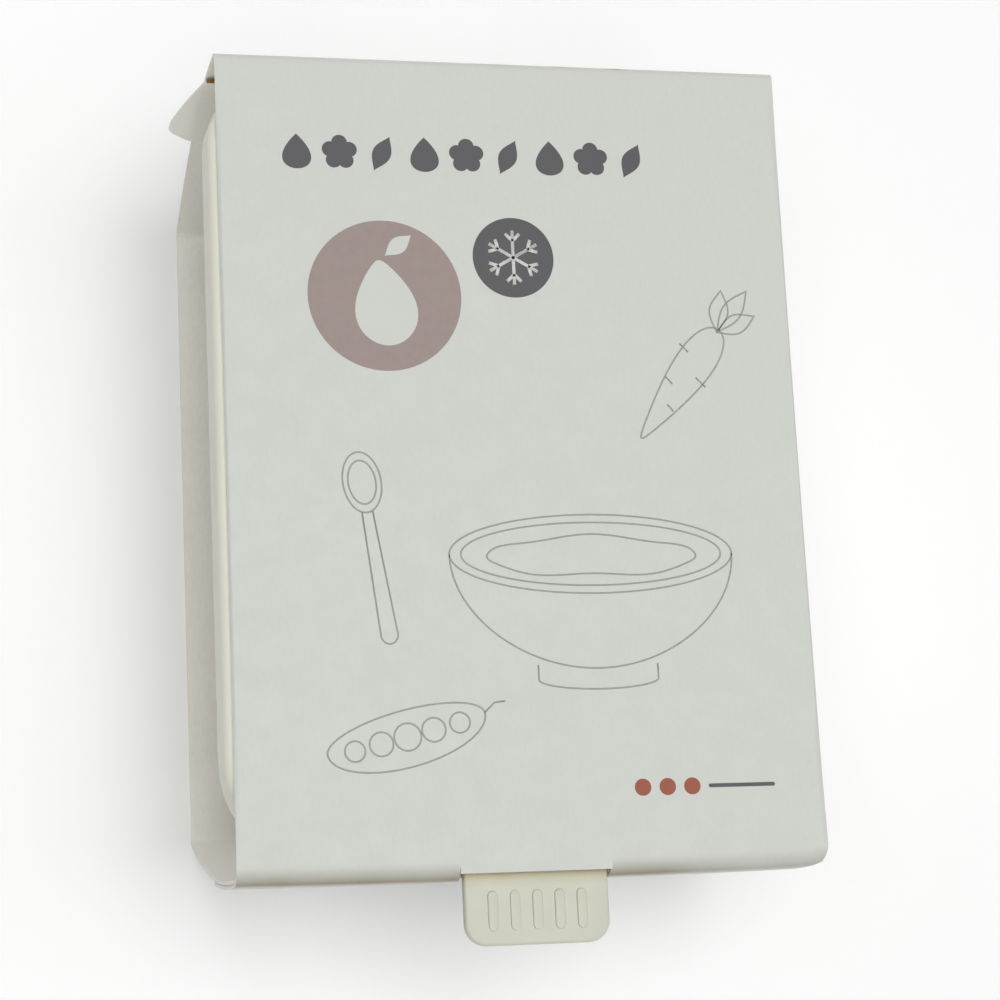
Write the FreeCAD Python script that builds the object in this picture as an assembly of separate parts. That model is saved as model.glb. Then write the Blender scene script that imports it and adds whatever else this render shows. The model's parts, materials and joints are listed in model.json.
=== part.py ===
import FreeCAD, Part
import math
import os

V = FreeCAD.Vector

# Freezer tray with its lid, in a folded carton wrap that is open at both long sides.
# Millimetres. X is across the carton, Y along it (the lid's pull tab is at -Y), Z up.
# The origin is under the middle of the back panel, which the carton lies on.

# ---- carton wrap ----
board = 0.5             # thickness of the carton board
lid_proud = 0.8         # the lid stands out of the open sides, each side
end_room = 3.3          # between the lid's end and the front fold, each end
end_splay = 9.2         # front fold beyond back fold, each end
wrap_height = 49.0
fold_radius = 0.8       # middle of the board, round the two back folds
crease = 0.42           # from a fold's axis to the board that turns on it
glue_flap_length = 21.6  # glued outside the far end panel
far_panel_drop = 8.4    # from the far fold down to the far end panel's edge
ear_top = 7.6           # from the far fold down to the ear
ear_reach = 3.4         # beyond the glue flap's edge
ear_tip = 3.0           # height of the ear's outer edge
ear_slant = 2.2         # drop of the ear's lower edge towards its root
ear_angle = 18.0        # how far the ear stands out from the flap
end_flap_length = 25.0  # the two flaps beside the tab
flap_overlap = 3.0      # of those flaps over the tab end panel
flap_gap = 0.12         # between flap and panel, so that the flap can turn
slot_clearance = 0.5    # round the tab
slot_inset = 1.1        # of the slot into the front panel
panel_corner = 1.5      # free corners of flaps and panels

# ---- tray ----
rows = 3                # across X
wells_per_row = 6       # along Y
well_pitch = 14.8
row_pitch = 23.6
well_top_radius = 9.3   # inside, at the deck
well_foot_radius = 6.4  # inside, where the round bottom starts
well_foot_round = 5.2
well_wall = 1.3
divider = 1.2           # wall between two wells of a row
divider_dip = 7.5       # depth of the dip in a divider's top
dip_width = 10.4
deck = 1.6
end_land = 3.4          # from the wells' mouths to the rim's end
side_land = 5.0         # and to its side
mouth_round = 0.5       # where the deck rolls into a well
rim_corner = 11.3
rim_wall = 1.4          # the band that hangs from the rim
rim_band = 6.5          # its height below the lip's top
lip_width = 2.0
lip_height = 1.2
rim_round = 0.5

# ---- lid ----
lid_plate = 1.6
lid_wall = 1.2
lid_skirt = 4.5         # below the plate
lid_clearance = 0.2     # between skirt and rim, each side
border_width = 4.2      # raised border round the lid's top
border_height = 0.5
border_round = 0.2      # at the border's inner edge
lid_round = 0.8
bend_from_far_end = 13.5  # line that the lid bends on, from its far edge
bend_gap = 0.1
tab_width = 18.8
tab_thickness = 1.7
tab_reach = 8.3         # beyond the carton's fold
tab_corner = 2.8
tab_edge = 0.4          # rounding of the tab's edges
grip_ribs = 5           # raised on the tab
rib_pitch = 2.9
rib_width = 1.3
rib_length = 5.0
rib_height = 0.25
rib_from_tip = 1.8

# ---- places ----
under_cover = 0.3       # between lid and front panel
tray_lift = 0.3         # between the wells' round feet and the back panel
tray_x = -0.3           # the tray lies a little to one side of the carton
tray_y = -0.3

rim_length = (wells_per_row - 1) * well_pitch + 2 * (well_top_radius + end_land)
rim_width = (rows - 1) * row_pitch + 2 * (well_top_radius + side_land)
lid_top_z = wrap_height - board - under_cover
lid_under_z = lid_top_z - lid_plate
lip_top_z = lid_under_z          # the lid rests on the lip
deck_top_z = lip_top_z - lip_height
foot_z = board + tray_lift
lid_length = rim_length + 2 * (lid_clearance + lid_wall)
lid_width = rim_width + 2 * (lid_clearance + lid_wall)
lid_corner = rim_corner + lid_clearance + lid_wall
wrap_width = lid_width - 2 * lid_proud       # all panels, along X
front_length = lid_length + 2 * end_room     # front panel, fold to fold
back_length = front_length - 2 * end_splay   # back panel, fold to fold
slot_width = tab_width + 2 * slot_clearance

half_t = board / 2.0
fold_y = front_length / 2.0 - half_t     # axes of the two front folds
fold_z = wrap_height - half_t
back_y = back_length / 2.0 - half_t
bend_y = tray_y + lid_length / 2.0 - bend_from_far_end
bend_z = lid_under_z + lid_plate / 2.0
tab_top_z = lid_top_z - lid_round

os.makedirs("parts", exist_ok=True)


def save(shape, name):
    """Write one node after checking that every solid in it is sound."""
    for solid in shape.Solids:
        if not solid.isValid() or solid.Volume <= 0:
            raise ValueError(name + " is not a sound solid")
    shape.exportStep("parts/" + name + ".step")
    print("%-22s %2d solid(s) %9.1f mm3" % (name, len(shape.Solids), shape.Volume))


def box(x0, x1, y0, y1, z0, z1):
    return Part.makeBox(x1 - x0, y1 - y0, z1 - z0, V(x0, y0, z0))


def mid_box(x, y, width, length, z0, z1):
    return box(x - width / 2, x + width / 2, y - length / 2, y + length / 2, z0, z1)


def round_slab(width, length, corner, z0, z1):
    """Slab with round corners in plan, centred on the tray."""
    slab = mid_box(tray_x, tray_y, width, length, z0, z1)
    upright = [e for e in slab.Edges if abs(e.tangentAt(e.FirstParameter).z) > 0.9]
    return slab.makeFillet(corner, upright)


def round_top(shape, radius, z):
    """Round every edge of the shape that lies wholly at height z."""
    top = [e for e in shape.Edges
           if abs(e.BoundBox.ZMin - z) < 1e-4 and abs(e.BoundBox.ZMax - z) < 1e-4]
    return shape.makeFillet(radius, top)


# ---- carton wrap ----

def lean(stack):
    """Angle of an end panel from upright, with its flap's axis on the front fold."""
    rise = fold_z - half_t
    run = fold_y - back_y
    return math.atan2(run, rise) - math.asin(stack / math.hypot(run, rise))


def end_frame(stack):
    """Unit vectors up an end panel and outwards from it, at the +Y end."""
    a = lean(stack)
    return V(0, math.sin(a), math.cos(a)), V(0, math.cos(a), -math.sin(a))


def sheet(start, along, normal, length, width):
    """Flat board: length along one direction, width along X, centred on its middle plane."""
    corner = start - normal * half_t - V(width / 2, 0, 0)
    face = Part.makePolygon([corner, corner + V(width, 0, 0), corner + V(width, 0, 0) + along * length,
                             corner + along * length, corner])
    return Part.Face(face).extrude(normal * board)


def soften(shape, normal, radius, chosen):
    """Round the board's corners, the edges through its thickness that chosen() picks."""
    through = [e for e in shape.Edges
               if e.Length < board * 1.01 and abs(e.tangentAt(e.FirstParameter).dot(normal)) > 0.99
               and chosen(e.CenterOfMass)]
    return shape.makeFillet(radius, through)


def back_tangent(stack):
    """Length that a back fold's round takes from each of its two panels."""
    return fold_radius * math.tan((math.pi / 2 - lean(stack)) / 2)


def end_panel(stack, top_drop):
    """End panel at +Y with the round of its back fold, ending top_drop below the front fold."""
    up, out = end_frame(stack)
    take = back_tangent(stack)
    corner = V(0, back_y, half_t)
    reach = (V(0, fold_y, fold_z) - corner).dot(up)
    flat = sheet(corner + up * take, up, out, reach - take - top_drop, wrap_width)
    section = box(-wrap_width / 2, wrap_width / 2, back_y - take, back_y - take + 1, 0, board)
    start = [f for f in section.Faces if abs(f.CenterOfMass.y - (back_y - take)) < 1e-6][0]
    turn = 90 - math.degrees(lean(stack))
    fold = start.revolve(V(0, back_y - take, half_t + fold_radius), V(1, 0, 0), turn)
    return flat.fuse(fold).removeSplitter()


def back_panel():
    far = back_y - back_tangent(board)
    near = back_y - back_tangent(board + flap_gap)
    return box(-wrap_width / 2, wrap_width / 2, -near, far, 0, board)


def front_panel():
    """Flat panel with a half-round edge on each fold's axis and the tab's slot."""
    flat = box(-wrap_width / 2, wrap_width / 2, -fold_y, fold_y, wrap_height - board, wrap_height)
    for y in (-fold_y, fold_y):
        flat = flat.fuse(Part.makeCylinder(half_t, wrap_width, V(-wrap_width / 2, y, fold_z), V(1, 0, 0)))
    flat = flat.removeSplitter()
    slot = mid_box(tray_x, -fold_y, slot_width, 2 * slot_inset, wrap_height - 2 * board, wrap_height + board)
    return flat.cut(slot)


def glue_flap():
    up, out = end_frame(board)
    top = V(0, fold_y, fold_z)
    flap = sheet(top - up * crease, up * -1, out, glue_flap_length - crease, wrap_width)
    low = (top - up * glue_flap_length).z + 1
    return soften(flap, out, panel_corner, lambda p: p.z < low)


def ear():
    """Small ear on the glue flap's -X edge, standing out from it by ear_angle."""
    up, out = end_frame(board)
    root = V(-wrap_width / 2, fold_y, fold_z) - up * ear_top
    side = V(-1, 0, 0)
    low = glue_flap_length - panel_corner - ear_top
    tip_low = low - ear_slant
    corners = [side * crease, side * ear_reach - up * (tip_low - ear_tip),
               side * ear_reach - up * tip_low, side * crease - up * low]
    wire = Part.makePolygon([root + c - out * half_t for c in corners + corners[:1]])
    flap = Part.Face(wire).extrude(out * board)
    outer = -wrap_width / 2 - ear_reach + 0.1
    flap = soften(flap, out, panel_corner, lambda p: p.x < outer)
    flap.rotate(root, up, -ear_angle)
    return flap, root, up


def tab_end_panel():
    """Lower half across the whole width, with a tongue that rises to just under the tab."""
    stack = board + flap_gap
    up, out = end_frame(stack)
    tongue_z = tab_top_z - tab_thickness - slot_clearance
    panel = end_panel(stack, (fold_z - tongue_z) / up.z)
    shoulder = (V(0, fold_y, fold_z) - up * (end_flap_length - flap_overlap)).z
    tongue = tray_x - slot_width / 2, tray_x + slot_width / 2
    panel = panel.cut(box(-wrap_width, tongue[0], 0, front_length, shoulder, wrap_height))
    panel = panel.cut(box(tongue[1], wrap_width, 0, front_length, shoulder, wrap_height))
    return panel.mirror(V(0, 0, 0), V(0, 1, 0))


def end_flap(side):
    """Flap beside the tab, outside the tab end panel, hinged on the tab fold."""
    up, out = end_frame(board + flap_gap)
    inner = tray_x + side * (slot_width / 2 + flap_gap)
    outer = side * wrap_width / 2
    width = abs(outer - inner)
    top = V((inner + outer) / 2, fold_y, fold_z)
    flap = sheet(top - up * crease, up * -1, out, end_flap_length - crease, width)
    low = (top - up * end_flap_length).z + 1
    flap = soften(flap, out, panel_corner, lambda p: p.z < low)
    return flap.mirror(V(0, 0, 0), V(0, 1, 0))


# ---- tray ----

def well_profile(inset, flare=0.0):
    """Half section of one finger, from its round bottom to the deck, turned round Z.
    A flare rounds outwards at the deck."""
    r_top = well_top_radius + well_wall - inset
    r_foot = well_foot_radius + well_wall - inset
    rnd = well_foot_round + well_wall - inset
    z0 = foot_z + inset
    z_round = z0 + rnd
    d = rnd * math.sin(math.pi / 4)
    mid = V(r_foot - rnd + d, 0, z_round - d)
    lines = [Part.LineSegment(V(0, 0, z0), V(r_foot - rnd, 0, z0)).toShape(),
             Part.Arc(V(r_foot - rnd, 0, z0), mid, V(r_foot, 0, z_round)).toShape(),
             Part.LineSegment(V(r_foot, 0, z_round), V(r_top, 0, deck_top_z - flare)).toShape(),
             Part.LineSegment(V(r_top + flare, 0, deck_top_z), V(0, 0, deck_top_z)).toShape(),
             Part.LineSegment(V(0, 0, deck_top_z), V(0, 0, z0)).toShape()]
    if flare:
        d = flare * math.sin(math.pi / 4)
        mid = V(r_top + flare - d, 0, deck_top_z - flare + d)
        lines.insert(3, Part.Arc(V(r_top, 0, deck_top_z - flare), mid,
                                 V(r_top + flare, 0, deck_top_z)).toShape())
    face = Part.Face(Part.Wire(lines))
    return face.revolve(V(0, 0, 0), V(0, 0, 1), 360)


def well_places():
    """Row, number in the row, and centre of every well."""
    for row in range(rows):
        x = tray_x + (row - (rows - 1) / 2) * row_pitch
        for n in range(wells_per_row):
            y = tray_y + (n - (wells_per_row - 1) / 2) * well_pitch
            yield row, n, x, y


def well(n, outside, inside):
    """One well at the origin, cut on the middle of each divider that it shares."""
    far = 2 * (well_top_radius + well_wall)
    first = n == 0
    last = n == wells_per_row - 1
    y0 = -far if first else -well_pitch / 2
    y1 = far if last else well_pitch / 2
    in0 = y0 if first else y0 + divider / 2
    in1 = y1 if last else y1 - divider / 2
    body = outside.common(box(-far, far, y0, y1, 0, wrap_height))
    hollow = inside.common(box(-far, far, in0, in1, 0, wrap_height))
    body = body.cut(hollow)
    r = dip_width / 2
    z = deck_top_z - divider_dip + r
    s0 = 0 if first else y0
    s1 = 0 if last else y1
    dip = box(-r, r, s0, s1, z, wrap_height)
    dip = dip.fuse(Part.makeCylinder(r, s1 - s0, V(0, s0, z), V(0, 1, 0)))
    return body.cut(dip)


def tray_rim(outsides):
    """Deck with the raised lip and the band that hangs from it, open where the wells are."""
    band_z = lip_top_z - rim_band
    rim = round_slab(rim_width, rim_length, rim_corner, band_z, lip_top_z)
    rim = round_top(rim, rim_round, lip_top_z)
    inset = 2 * lip_width
    rim = rim.cut(round_slab(rim_width - inset, rim_length - inset, rim_corner - lip_width,
                             deck_top_z, wrap_height))
    inset = 2 * rim_wall
    rim = rim.cut(round_slab(rim_width - inset, rim_length - inset, rim_corner - rim_wall,
                             band_z - 1, deck_top_z - deck))
    for finger in outsides:
        rim = rim.cut(finger)
    return rim


# ---- lid ----

def lid_shell():
    """Whole lid: plate with a raised border, and the skirt that goes round the rim."""
    low = lid_under_z - lid_skirt
    shell = round_slab(lid_width, lid_length, lid_corner, low, lid_top_z)
    shell = round_top(shell, lid_round, lid_top_z)
    inset = 2 * lid_wall
    shell = shell.cut(round_slab(lid_width - inset, lid_length - inset, lid_corner - lid_wall,
                                 low - 1, lid_under_z))
    inset = 2 * border_width
    shell = shell.cut(round_slab(lid_width - inset, lid_length - inset, lid_corner - border_width,
                                 lid_top_z - border_height, wrap_height))
    half = lid_width / 2 - border_width
    inner = [e for e in shell.Edges if abs(e.BoundBox.ZMin - lid_top_z) < 1e-4
             and abs(e.CenterOfMass.x - tray_x) < half + 0.01
             and abs(e.CenterOfMass.y - tray_y) < lid_length / 2 - border_width + 0.01]
    return shell.makeFillet(border_round, inner)


def lid_parts():
    """The lid in two, on the line that it bends on when it is peeled."""
    shell = lid_shell()
    wide = lid_width
    knuckle_radius = lid_plate / 2
    knuckle = Part.makeCylinder(knuckle_radius, 2 * wide, V(-wide, bend_y, bend_z), V(1, 0, 0))
    near = box(-wide, wide, -front_length, bend_y, 0, wrap_height).fuse(knuckle)
    room = knuckle_radius + bend_gap
    round_room = Part.makeCylinder(room, 2 * wide, V(-wide, bend_y, bend_z), V(1, 0, 0))
    far = box(-wide, wide, bend_y + bend_gap, front_length, 0, wrap_height)
    far = far.cut(round_room).cut(box(-wide, wide, bend_y, bend_y + room, bend_z, wrap_height))
    return shell.common(near), shell.common(far)


def grip_rib(x, y):
    """Raised rib with round ends on the tab's upper face, sunk a little into it."""
    rib = mid_box(x, y, rib_width, rib_length, tab_top_z - rib_height, tab_top_z + rib_height)
    ends = [e for e in rib.Edges if abs(e.tangentAt(e.FirstParameter).z) > 0.9]
    rib = rib.makeFillet(rib_width / 2 - 0.01, ends)
    return round_top(rib, rib_height / 2, tab_top_z + rib_height)


def pull_tab():
    """Tab from the lid's edge out through the carton's slot."""
    root = tray_y - lid_length / 2
    tip = -fold_y - half_t - tab_reach
    tab = mid_box(tray_x, (root + tip) / 2, tab_width, root - tip,
                  tab_top_z - tab_thickness, tab_top_z)
    tip_edges = [e for e in tab.Edges if abs(e.tangentAt(e.FirstParameter).z) > 0.9
                 and e.CenterOfMass.y < tip + 0.1]
    tab = tab.makeFillet(tab_corner, tip_edges)
    around = [e for e in tab.Edges if e.BoundBox.ZMax - e.BoundBox.ZMin < 1e-4
              and e.CenterOfMass.y < root - 1e-4]
    tab = tab.makeFillet(tab_edge, around)
    for n in range(grip_ribs):
        x = tray_x + (n - (grip_ribs - 1) / 2) * rib_pitch
        tab = tab.fuse(grip_rib(x, tip + rib_from_tip + rib_length / 2))
    return tab.removeSplitter()


# ---- the nodes ----

save(back_panel(), "back_panel")
save(end_panel(board, far_panel_drop), "far_end_panel")
save(tab_end_panel(), "tab_end_panel")
save(glue_flap(), "glue_flap")
ear_shape, ear_hinge, ear_axis = ear()
save(ear_shape, "ear")
save(front_panel(), "front_panel")
save(end_flap(-1), "end_flap_left")
save(end_flap(1), "end_flap_right")

finger_outside = well_profile(0.0)
finger_inside = well_profile(well_wall, mouth_round)
fingers = []
for row, n, x, y in well_places():
    moved = finger_outside.copy()
    moved.translate(V(x, y, 0))
    fingers.append(moved)
save(tray_rim(fingers), "tray_rim")
for row, n, x, y in well_places():
    cup = well(n, finger_outside, finger_inside)
    cup.translate(V(x, y, 0))
    save(cup, "well_%d_%d" % (row + 1, n + 1))

lid_near, lid_far = lid_parts()
save(lid_near, "lid_panel")
save(lid_far, "lid_far_border")
save(pull_tab(), "pull_tab")

print("front folds at y +-%.3f z %.3f; lean %.2f and %.2f deg" % (
    fold_y, fold_z, math.degrees(lean(board)), math.degrees(lean(board + flap_gap))))
print("ear hinge", tuple(round(c, 3) for c in ear_hinge), "axis", tuple(round(c, 5) for c in ear_axis))
print("lid bend y %.3f z %.3f; lid %.1f x %.1f" % (bend_y, bend_z, lid_width, lid_length))
print("deck top %.2f foot %.2f" % (deck_top_z, foot_z))
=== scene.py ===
import bmesh
import bpy
import json
import math

from mathutils import Matrix, Vector


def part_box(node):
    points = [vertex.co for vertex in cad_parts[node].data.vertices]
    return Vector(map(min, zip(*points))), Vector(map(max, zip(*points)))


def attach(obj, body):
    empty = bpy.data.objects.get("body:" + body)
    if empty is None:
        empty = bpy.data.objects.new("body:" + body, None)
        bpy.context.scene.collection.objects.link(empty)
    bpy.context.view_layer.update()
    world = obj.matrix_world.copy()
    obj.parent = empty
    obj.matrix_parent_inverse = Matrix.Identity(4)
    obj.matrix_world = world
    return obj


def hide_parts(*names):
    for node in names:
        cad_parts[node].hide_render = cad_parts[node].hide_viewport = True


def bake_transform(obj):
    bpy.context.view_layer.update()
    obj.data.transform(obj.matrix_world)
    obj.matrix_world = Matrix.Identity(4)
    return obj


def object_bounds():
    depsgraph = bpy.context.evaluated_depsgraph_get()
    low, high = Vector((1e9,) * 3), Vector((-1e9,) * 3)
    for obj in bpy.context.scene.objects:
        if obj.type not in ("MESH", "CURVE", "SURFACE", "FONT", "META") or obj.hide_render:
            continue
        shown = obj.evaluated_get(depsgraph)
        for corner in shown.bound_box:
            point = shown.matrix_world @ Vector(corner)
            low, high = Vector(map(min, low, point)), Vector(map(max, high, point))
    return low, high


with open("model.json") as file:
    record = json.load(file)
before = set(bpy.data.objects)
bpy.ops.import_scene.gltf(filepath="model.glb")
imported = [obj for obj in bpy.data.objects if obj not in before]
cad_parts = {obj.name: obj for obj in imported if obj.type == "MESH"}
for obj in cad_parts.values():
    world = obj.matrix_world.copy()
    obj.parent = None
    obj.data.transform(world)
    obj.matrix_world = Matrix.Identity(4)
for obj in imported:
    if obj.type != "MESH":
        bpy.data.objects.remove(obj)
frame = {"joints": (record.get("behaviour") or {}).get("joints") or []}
cad_low, cad_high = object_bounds()

# Freezer tray with its lid, in a folded carton wrap. Metres; MM turns millimetres into metres.
# X is across the carton, Y along it (the lid's pull tab is at -Y), Z up.

MM = 0.001
NEAR = 1e-7                         # closer than this counts as the same place
BOARD_SHARP = math.radians(35)      # sharper edges than this aren't shaded smooth
TRAY_SHARP = math.radians(40)
LID_SHARP = math.radians(50)
UP = Vector((0, 0, 1))
SIDEWAYS = Vector((1, 0, 0))
LENGTHWAYS = Vector((0, 1, 0))

# ---- carton wrap ----
FRONT_LOW, FRONT_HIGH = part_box("front_panel")
LEFT, RIGHT = FRONT_LOW.x, FRONT_HIGH.x
BOARD = FRONT_HIGH.z - FRONT_LOW.z
FOLD_Y = FRONT_HIGH.y - BOARD / 2   # axes of the two front folds
FOLD_Z = FRONT_HIGH.z - BOARD / 2
BACK_Y = 44.95 * MM                 # end of the back panel, before its rounds
LEAN_FAR = math.radians(10.16)      # end panels from upright
LEAN_TAB = math.radians(10.02)
FAR_FOLD_ROUND = 0.8 * MM           # outer radii of the folds
TAB_FOLD_ROUND = 2.0 * MM
BACK_FOLD_ROUND = 1.05 * MM
FOLD_LEAD = 0.8 * MM                # flat board that goes with each fold strip
FOLD_STEPS = 14
PANEL_STEPS = 9                     # rows in the part of an end panel that bows out
BOARD_COLUMNS = 14
BOW_FAR = 3.0 * MM                  # how far the end panels bow out between their folds
BOW_TAB = 2.3 * MM
FLARE = 0.12 * MM                   # how far the tab fold is pushed out over its slot
FLARE_LEFT = -0.12 * MM
FLARE_RIGHT = -0.35 * MM
EDGE_STANDS_IN = 0.35 * MM          # the far end panel's free edge, off the glue flap
EDGE_STANDS_OVER = 3.0 * MM
SLOT_INSET = 0.45 * MM
SLOT_TRIM = 0.35 * MM               # the right flap stands this much nearer to the tab
SLOT_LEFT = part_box("end_flap_left")[1].x
SLOT_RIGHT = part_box("end_flap_right")[0].x - SLOT_TRIM
CORNER = 1.5 * MM                   # free corners of flaps
GLUE_FLAP = 28.6 * MM
END_FLAP = 25.0 * MM
FLAP_CLOSE = 0.15 * MM              # the tab end panel leans this much nearer to the flaps
SHOULDER_Z = 46.8 * MM              # top of the tab end panel beside the tab
FAR_PANEL_DROP = 8.4 * MM           # from the far fold down to the far end panel
TUCK = 0.06 * MM                    # room between boards that lie on each other
EAR_TOP = 9.2 * MM
EAR_REACH = 3.4 * MM
EAR_TIP = 2.2 * MM
EAR_SLANT = 0.9 * MM
EAR_ANGLE = math.radians(18.0)
EAR_CREASE = 1.2 * MM               # width of the ear's soft crease
EAR_CUTS = 5
EAR_ROWS = 12
EDGE_ROLL = 0.4 * MM                # width of the cut edges' slight roll
FAR_SPECKS = ((0.7 * MM, 0.3), (8.6 * MM, 0.55), (16.3 * MM, 0.95))
SPECK = 2.2 * MM
# Painted shade down the tab fold's outer round, where it turns away from the lamps, with a patchy brown worn
# line at its lower part: the ramp's height, its stops as shares of the board's colour, and the places where
# both get weaker.
FOLD_SHADE_AND_RUB_HEIGHT = TAB_FOLD_ROUND * 1.6
FOLD_SHADE_AND_RUB = ((0.0, (1, 1, 1)), (0.30, (0.70, 0.64, 0.55)), (0.56, (0.52, 0.44, 0.35)),  # up the tab fold,
       (0.694, (0.64, 0.60, 0.53)), (0.806, (0.72, 0.70, 0.64)),                  # as a share of the
       (0.881, (0.80, 0.79, 0.74)), (0.934, (0.88, 0.87, 0.84)),                  # board's colour
       (0.985, (0.96, 0.96, 0.95)), (1.0, (1, 1, 1)))
FOLD_SHADE_AND_RUB_ENDS = (17 * MM, 27 * MM)       # the rub gets weaker between these places
EDGE_BOW = 0.14 * MM                # the front panel's long edges draw in at the middle
CRUSH = Vector((2.6 * MM, 1.3 * MM, 0))  # worn corner at the right of the tab fold
CRUSH_DEPTH = 12.0 * MM
CRUSH_CUTS = (0.05, 0.12, 0.2, 0.3, 0.45, 0.6, 0.8)

# ---- tray ----
ROWS = 3
WELLS_PER_ROW = 6
WELL_PITCH = 14.8 * MM
ROW_PITCH = 23.6 * MM
WELL_TOP = 9.3 * MM                 # inner radius at the deck
WELL_FOOT = 6.4 * MM                # inner radius where the round bottom starts
WELL_FOOT_ROUND = 5.2 * MM
WELL_WALL = 1.3 * MM
MOUTH_ROUND = 0.5 * MM
WELL_STEPS = 64
DIVIDER = 1.2 * MM
DIVIDER_DIP = 7.5 * MM
DIP_WIDTH = 10.4 * MM
DIVIDER_ROUND = 0.45 * MM
DIVIDER_STEPS = 12
DIVIDER_SINK = 0.9 * MM             # the divider reaches this far into the well's wall
DIVIDER_REACH = 7.1 * MM
DECK = 1.6 * MM
RIM_CORNER = 11.3 * MM
RIM_WALL = 1.4 * MM
RIM_ROUND = 0.45 * MM
LIP_WIDTH = 2.0 * MM
LIP_HEIGHT = 1.2 * MM
LIP_SLOPE = 0.2 * MM
RIM_LOW, RIM_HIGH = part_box("tray_rim")
TRAY_MIDDLE = (RIM_LOW + RIM_HIGH) / 2
DECK_TOP = RIM_HIGH.z - LIP_HEIGHT
FOOT_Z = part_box("well_1_1")[0].z

# ---- lid and tab ----
TAB_LOW, TAB_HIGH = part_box("pull_tab")
LID_LOW, LID_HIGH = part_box("lid_panel")
LID_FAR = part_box("lid_far_border")[1].y
LID_TOP = LID_HIGH.z
LID_CORNER = 12.7 * MM
LID_FAR_CORNER = 8.5 * MM
LID_PLATE = 1.6 * MM
LID_WALL = 1.2 * MM
LID_ROUND = 1.5 * MM
BORDER = 4.2 * MM
BORDER_STEP = 0.5 * MM
BORDER_SLOPE = 0.3 * MM
BORDER_ROUND = 0.15 * MM
BEND_Y = [joint["pos_m"][1] for joint in frame["joints"] if joint["name"] == "lid_peel"][0]
BEND_HALF = 4.0 * MM                # the lid bends over this much each side of its line
BEND_CUTS = 16
TAB_CORNER = 2.8 * MM
TAB_EDGE = 0.4 * MM
RIBS = 5
RIB_PITCH = 2.9 * MM
RIB_WIDTH = 1.3 * MM
RIB_LENGTH = 5.0 * MM
RIB_HEIGHT = 0.25 * MM
RIB_FROM_TIP = 1.8 * MM
TAB_TOP = TAB_HIGH.z - RIB_HEIGHT

# ---- print ----
FACE_Z = FRONT_HIGH.z - 0.04 * MM   # outer face of the front panel
INK = 0.02 * MM
DRAWN_LINE = 0.22 * MM
HEADING_AT = (-28.0 * MM, 41.0 * MM)
HEADING_SHAPES = 9
HEADING_PITCH = 5.7 * MM
HEADING_HIGH = 4.8 * MM
FRUIT_DISC_AT = (-17.0 * MM, 21.5 * MM)
FRUIT_DISC = 10.2 * MM
PEAR_WIDE = 10.4 * MM
PEAR_HIGH = 11.6 * MM
FROST_DISC_AT = (0.5 * MM, 27.0 * MM)
FROST_DISC = 5.5 * MM
FROST_ARM = 3.74 * MM
FROST_LINE = 0.62 * MM
BOWL_AT = (9.0 * MM, -13.0 * MM)
BOWL_HALF = 19.0 * MM
BOWL_LIP = 5.2 * MM
BOWL_DEEP = 15.0 * MM
BOWL_FOOT = 7.98 * MM               # half its width
SPOON_AT = (-21.0 * MM, -3.5 * MM)
SPOON_TURN = math.radians(8)
SPOON_WIDE = 2.5 * MM               # half sizes of its mouth
SPOON_HIGH = 4.0 * MM
SPOON_HANDLE = 20.0 * MM
CARROT_AT = (22.5 * MM, 10.0 * MM)
CARROT_TURN = math.radians(-38)
CARROT_WIDE = 3.6 * MM
CARROT_HALF = 9.5 * MM
CARROT_TOPS = ((-0.5, 6.0 * MM), (0.0, 7.5 * MM), (0.5, 6.0 * MM))                    # lean, length
CARROT_MARKS = ((4.5, -3.2, -1.6), (2.0, 1.2, 3.0), (-0.5, -2.2, -0.8), (-3.5, 0.2, 1.4))
POD_AT = (-16.5 * MM, -36.0 * MM)
POD_TURN = math.radians(14)
POD_HALF = 10.5 * MM
POD_BULGES = (3.0 * MM, -4.2 * MM)
PEA = 1.75 * MM
PEA_LESS = 0.22 * MM                # each pea away from the middle is smaller by this
PEA_PITCH = 3.5 * MM
MARKS_AT = (14.0 * MM, -43.5 * MM)
MARK = 1.1 * MM
MARK_RULE = 9.0 * MM

# ---- view and light ----
VIEW_AT = Vector((-2.95, -5.85, 49.0)) * MM
VIEW_LOOK = Vector((0.2283, 0.2050, -0.9518))
VIEW_BACK = 337.66 * MM
VIEW_ROLL = math.radians(2.872)     # the view's upward side, from +Y towards +X
LENS = 93.8
SENSOR = 36.0
FLOOR_SIZE = 8.0
SKY = 0.022
LAMPS = (                           # name, where from, level and spread
    ("high_lamp", (0.02, -0.01, 1.0), 0.325, math.radians(32)),
    ("wide_lamp", (0.07, -0.03, 1.0), 0.50, math.radians(72)),
    ("low_lamp", (-0.15, -1.0, 0.45), 0.14, math.radians(60)),
    ("rear_lamp", (-0.35, 0.92, 0.15), 0.15, math.radians(20)))
FLOOR_SHADE = 0.97
FLOOR_LIFT = 0.055                  # added to the floor where the camera sees it


# ---- materials ----

def srgb(red, green, blue):
    """Linear colour from 0-255 screen values."""
    def linear(c):
        c = c / 255
        return c / 12.92 if c <= 0.04045 else ((c + 0.055) / 1.055) ** 2.4
    return linear(red), linear(green), linear(blue), 1.0


def grey(level):
    return level, level, level, 1.0


def tinted(colour, factor):
    return tuple(min(1.0, c * factor) for c in colour[:3]) + (1.0,)


WHITE = grey(1.0)
BLACK = grey(0.0)


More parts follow.
